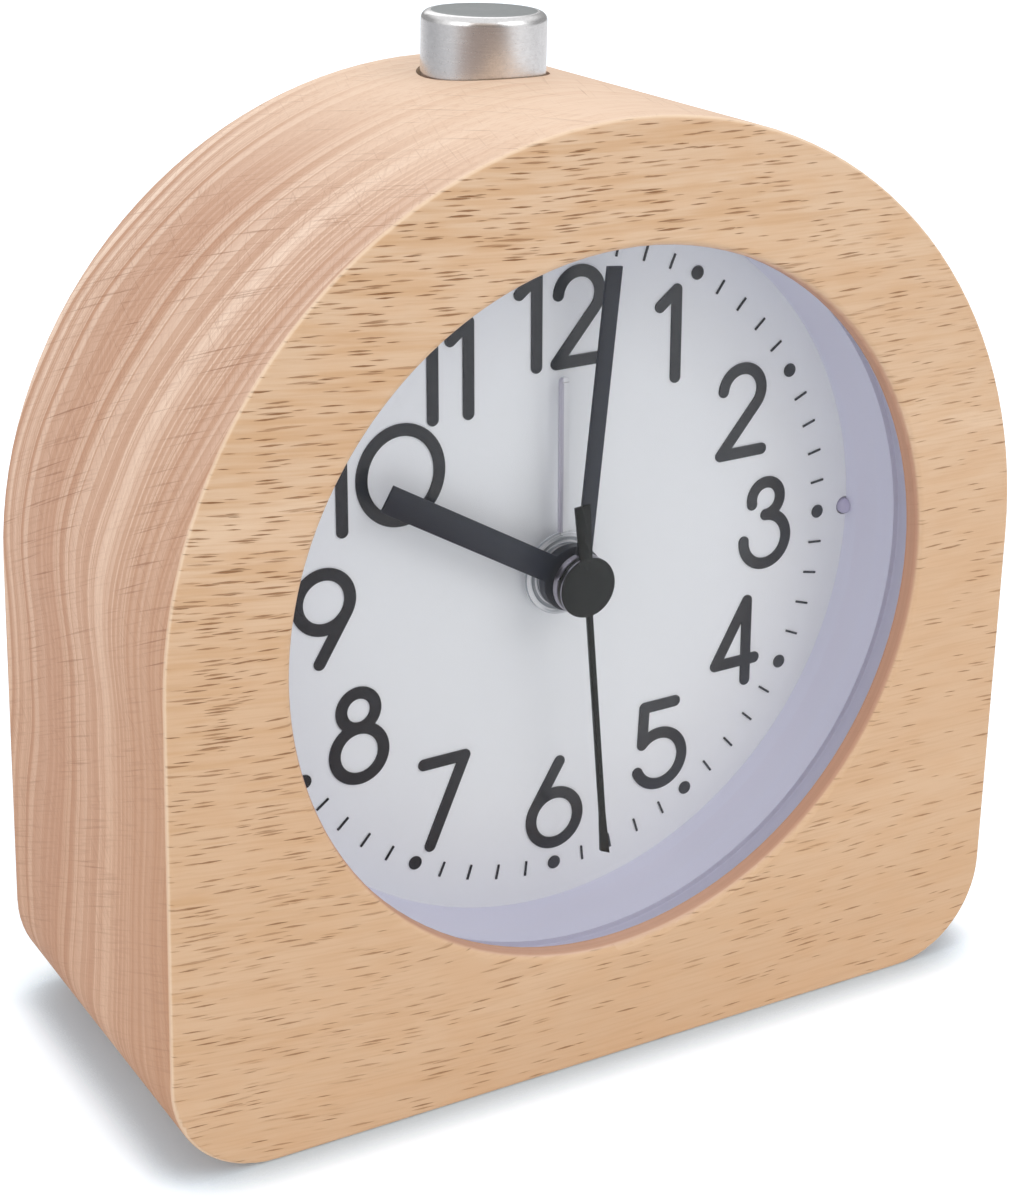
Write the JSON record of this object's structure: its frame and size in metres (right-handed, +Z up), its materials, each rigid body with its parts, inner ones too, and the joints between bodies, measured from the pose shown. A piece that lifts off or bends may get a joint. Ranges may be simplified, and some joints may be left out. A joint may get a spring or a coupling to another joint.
{
  "type": "desk clock",
  "caption": "Desk clock in an arched wooden block with a round dial, four hands, a snooze button on top, and setting knobs and a battery door at the back",
  "frame": {"origin": "centre of the flat base the block stands on", "axes": "+X to the right of someone facing the dial, +Y from the dial to the back, +Z up"},
  "size_m": [0.1, 0.0492, 0.1066],
  "materials": {
    "beech": "fine sanded, oiled beech, end grain on the sides and over the arch",
    "ring_white": "white plastic with a faint lilac cast, satin",
    "screw_steel": "zinc plated steel",
    "clear_lens": "clear flat lens, polished",
    "dial_white": "printed dial, satin white",
    "dial_ink": "dark slate ink, slightly raised",
    "light_lens": "milky lilac lamp dome",
    "frame_white": "moulded white plastic",
    "stator_iron": "stamped soft iron",
    "bobbin_plastic": "natural nylon",
    "copper_wire": "enamelled copper wire",
    "magnet": "sintered magnet",
    "wheel_acetal": "white acetal",
    "pipe_acetal": "black acetal",
    "arbor_steel": "ground steel",
    "knob_black": "fluted black plastic",
    "board_green": "circuit board with green mask",
    "part_black": "black moulded plastic",
    "can_metal": "bright can",
    "pin_white": "white nylon",
    "button_aluminium": "turned aluminium, rounded bright rim",
    "spring_steel": "nickel plated spring wire",
    "cover_black": "fine textured black plastic",
    "cell_jacket": "plain steel cell",
    "lead_red": "insulated wire",
    "hand_white": "clear white plastic",
    "hand_black": "black painted aluminium",
    "hand_gloss": "gloss black plastic"
  },
  "bodies": {
    "case": {"wood_body": "beech", "case_ring": "ring_white", "case_screws": "screw_steel", "lens": "clear_lens", "dial_plate": "dial_white", "minute_track": "dial_ink", "dial_numerals": "dial_ink", "night_light": "light_lens", "main_frame": "frame_white", "stator": "stator_iron", "coil_core": "stator_iron", "coil_bobbin": "bobbin_plastic", "coil_winding": "copper_wire", "rear_plate": "frame_white", "works_screws": "screw_steel", "circuit_board": "board_green", "board_screws": "screw_steel", "control_chip": "part_black", "quartz_crystal": "can_metal", "capacitor": "can_metal", "snooze_switch": "part_black", "button_guide": "part_black", "rear_cover": "cover_black", "cover_screws": "screw_steel", "buzzer": "part_black", "alarm_switch": "part_black", "aa_cell": "cell_jacket", "battery_contact": "spring_steel", "spring_contact": "spring_steel", "battery_spring": "spring_steel", "battery_leads": "lead_red", "light_leads": "lead_red", "switch_leads": "lead_red", "buzzer_leads": "lead_red"},
    "seconds": {"second_wheel": "wheel_acetal", "second_hand": "hand_gloss"},
    "intermediate": {"intermediate_wheel": "wheel_acetal"},
    "rotor": {"rotor": "magnet"},
    "third": {"third_wheel": "wheel_acetal"},
    "centre": {"centre_wheel": "wheel_acetal"},
    "minutes": {"minute_pipe": "pipe_acetal", "friction_washer": "spring_steel", "minute_hand": "hand_black"},
    "motion": {"motion_wheel": "wheel_acetal"},
    "hours": {"hour_wheel": "wheel_acetal", "hour_hand": "hand_black"},
    "time_setting": {"time_set_arbor": "pipe_acetal", "time_set_knob": "knob_black"},
    "alarm": {"alarm_wheel": "wheel_acetal", "alarm_hand": "hand_white"},
    "alarm_setting": {"alarm_set_arbor": "pipe_acetal", "alarm_set_knob": "knob_black"},
    "snooze": {"snooze_button": "button_aluminium", "button_clip": "spring_steel", "button_plunger": "pin_white", "switch_actuator": "pin_white", "button_spring": "spring_steel"},
    "battery_door": {"battery_door": "cover_black"},
    "alarm_switch_slider": {"alarm_slider": "pin_white"}
  },
  "joints": [
    {"name": "second_turn", "type": "hinge", "parent": "case", "child": "seconds", "pos_m": [0, 0, 0.0505], "axis": [0, 1, 0], "continuous": true},
    {"name": "intermediate_turn", "type": "hinge", "parent": "case", "child": "intermediate", "pos_m": [0.00473, 0, 0.0594], "axis": [0, 1, 0], "continuous": true},
    {"name": "rotor_turn", "type": "hinge", "parent": "case", "child": "rotor", "pos_m": [0.00893, 0, 0.06668], "axis": [0, 1, 0], "continuous": true},
    {"name": "third_turn", "type": "hinge", "parent": "case", "child": "third", "pos_m": [0, 0, 0.0403], "axis": [0, 1, 0], "continuous": true},
    {"name": "centre_turn", "type": "hinge", "parent": "case", "child": "centre", "pos_m": [0, 0, 0.0505], "axis": [0, 1, 0], "continuous": true},
    {"name": "minute_turn", "type": "hinge", "parent": "case", "child": "minutes", "pos_m": [0, 0, 0.0505], "axis": [0, 1, 0], "continuous": true},
    {"name": "motion_turn", "type": "hinge", "parent": "case", "child": "motion", "pos_m": [-0.00482, 0, 0.05738], "axis": [0, 1, 0], "continuous": true},
    {"name": "hour_turn", "type": "hinge", "parent": "case", "child": "hours", "pos_m": [0, 0, 0.0505], "axis": [0, 1, 0], "continuous": true},
    {"name": "time_set_turn", "type": "hinge", "parent": "case", "child": "time_setting", "pos_m": [-0.01251, 0, 0.054], "axis": [0, 1, 0], "continuous": true},
    {"name": "alarm_turn", "type": "hinge", "parent": "case", "child": "alarm", "pos_m": [0, 0, 0.0505], "axis": [0, 1, 0], "continuous": true},
    {"name": "alarm_set_turn", "type": "hinge", "parent": "case", "child": "alarm_setting", "pos_m": [0.01248, 0, 0.05399], "axis": [0, 1, 0], "continuous": true},
    {"name": "snooze_press", "type": "slide", "parent": "case", "child": "snooze", "axis": [0, 0, -1], "range_m": [0, 0.001], "stiffness_N_per_m": 800, "springref_m": -0.002, "deforming": ["button_spring"]},
    {"name": "battery_door_tip", "type": "hinge", "parent": "case", "child": "battery_door", "pos_m": [0, 0.0235, 0.0277], "axis": [-1, 0, 0], "range_deg": [0, 75]},
    {"name": "alarm_slide", "type": "slide", "parent": "case", "child": "alarm_switch_slider", "axis": [0, 0, 1], "range_m": [0, 0.004]}
  ],
  "couplings": [
    {"joint": "intermediate_turn", "follows": "second_turn", "ratio": -5},
    {"joint": "rotor_turn", "follows": "second_turn", "ratio": 30},
    {"joint": "third_turn", "follows": "second_turn", "ratio": -0.125},
    {"joint": "centre_turn", "follows": "second_turn", "ratio": 0.016667},
    {"joint": "motion_turn", "follows": "minute_turn", "ratio": -0.33333},
    {"joint": "hour_turn", "follows": "minute_turn", "ratio": 0.083333},
    {"joint": "time_set_turn", "follows": "minute_turn", "ratio": 1},
    {"joint": "alarm_set_turn", "follows": "alarm_turn", "ratio": -1.25}
  ]
}
